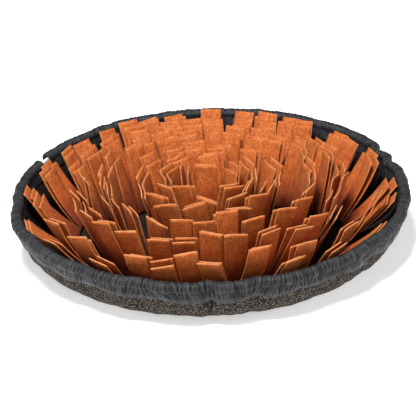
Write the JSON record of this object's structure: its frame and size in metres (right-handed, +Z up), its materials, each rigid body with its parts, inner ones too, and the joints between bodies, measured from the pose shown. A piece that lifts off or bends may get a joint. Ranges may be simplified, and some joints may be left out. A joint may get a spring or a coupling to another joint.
{
  "type": "snuffle mat",
  "caption": "Round pet snuffle mat: a shallow cloth bowl with a gathered drawstring rim, filled with rings of upright felt strips that hide treats.",
  "frame": {"origin": "middle of the underside's flat floor, on the surface that the mat lies on", "axes": "+Z up out of the bowl, -Y towards the front, +X to the right of someone who looks from the front"},
  "size_m": [0.4097, 0.4054, 0.0822],
  "materials": {
    "underside": "coarse melange weave",
    "lining": "plain matte weave",
    "sleeve": "gathered nylon",
    "drawstring": "braided cord",
    "felt": "felt"
  },
  "bodies": {
    "root": {"underside": "underside", "lining": "lining", "rim_sleeve": "sleeve", "drawstring": "drawstring", "felt_row_1": "felt", "felt_row_2": "felt", "felt_row_3": "felt", "felt_row_4": "felt", "felt_row_5": "felt", "felt_row_6": "felt"}
  },
  "joints": []
}
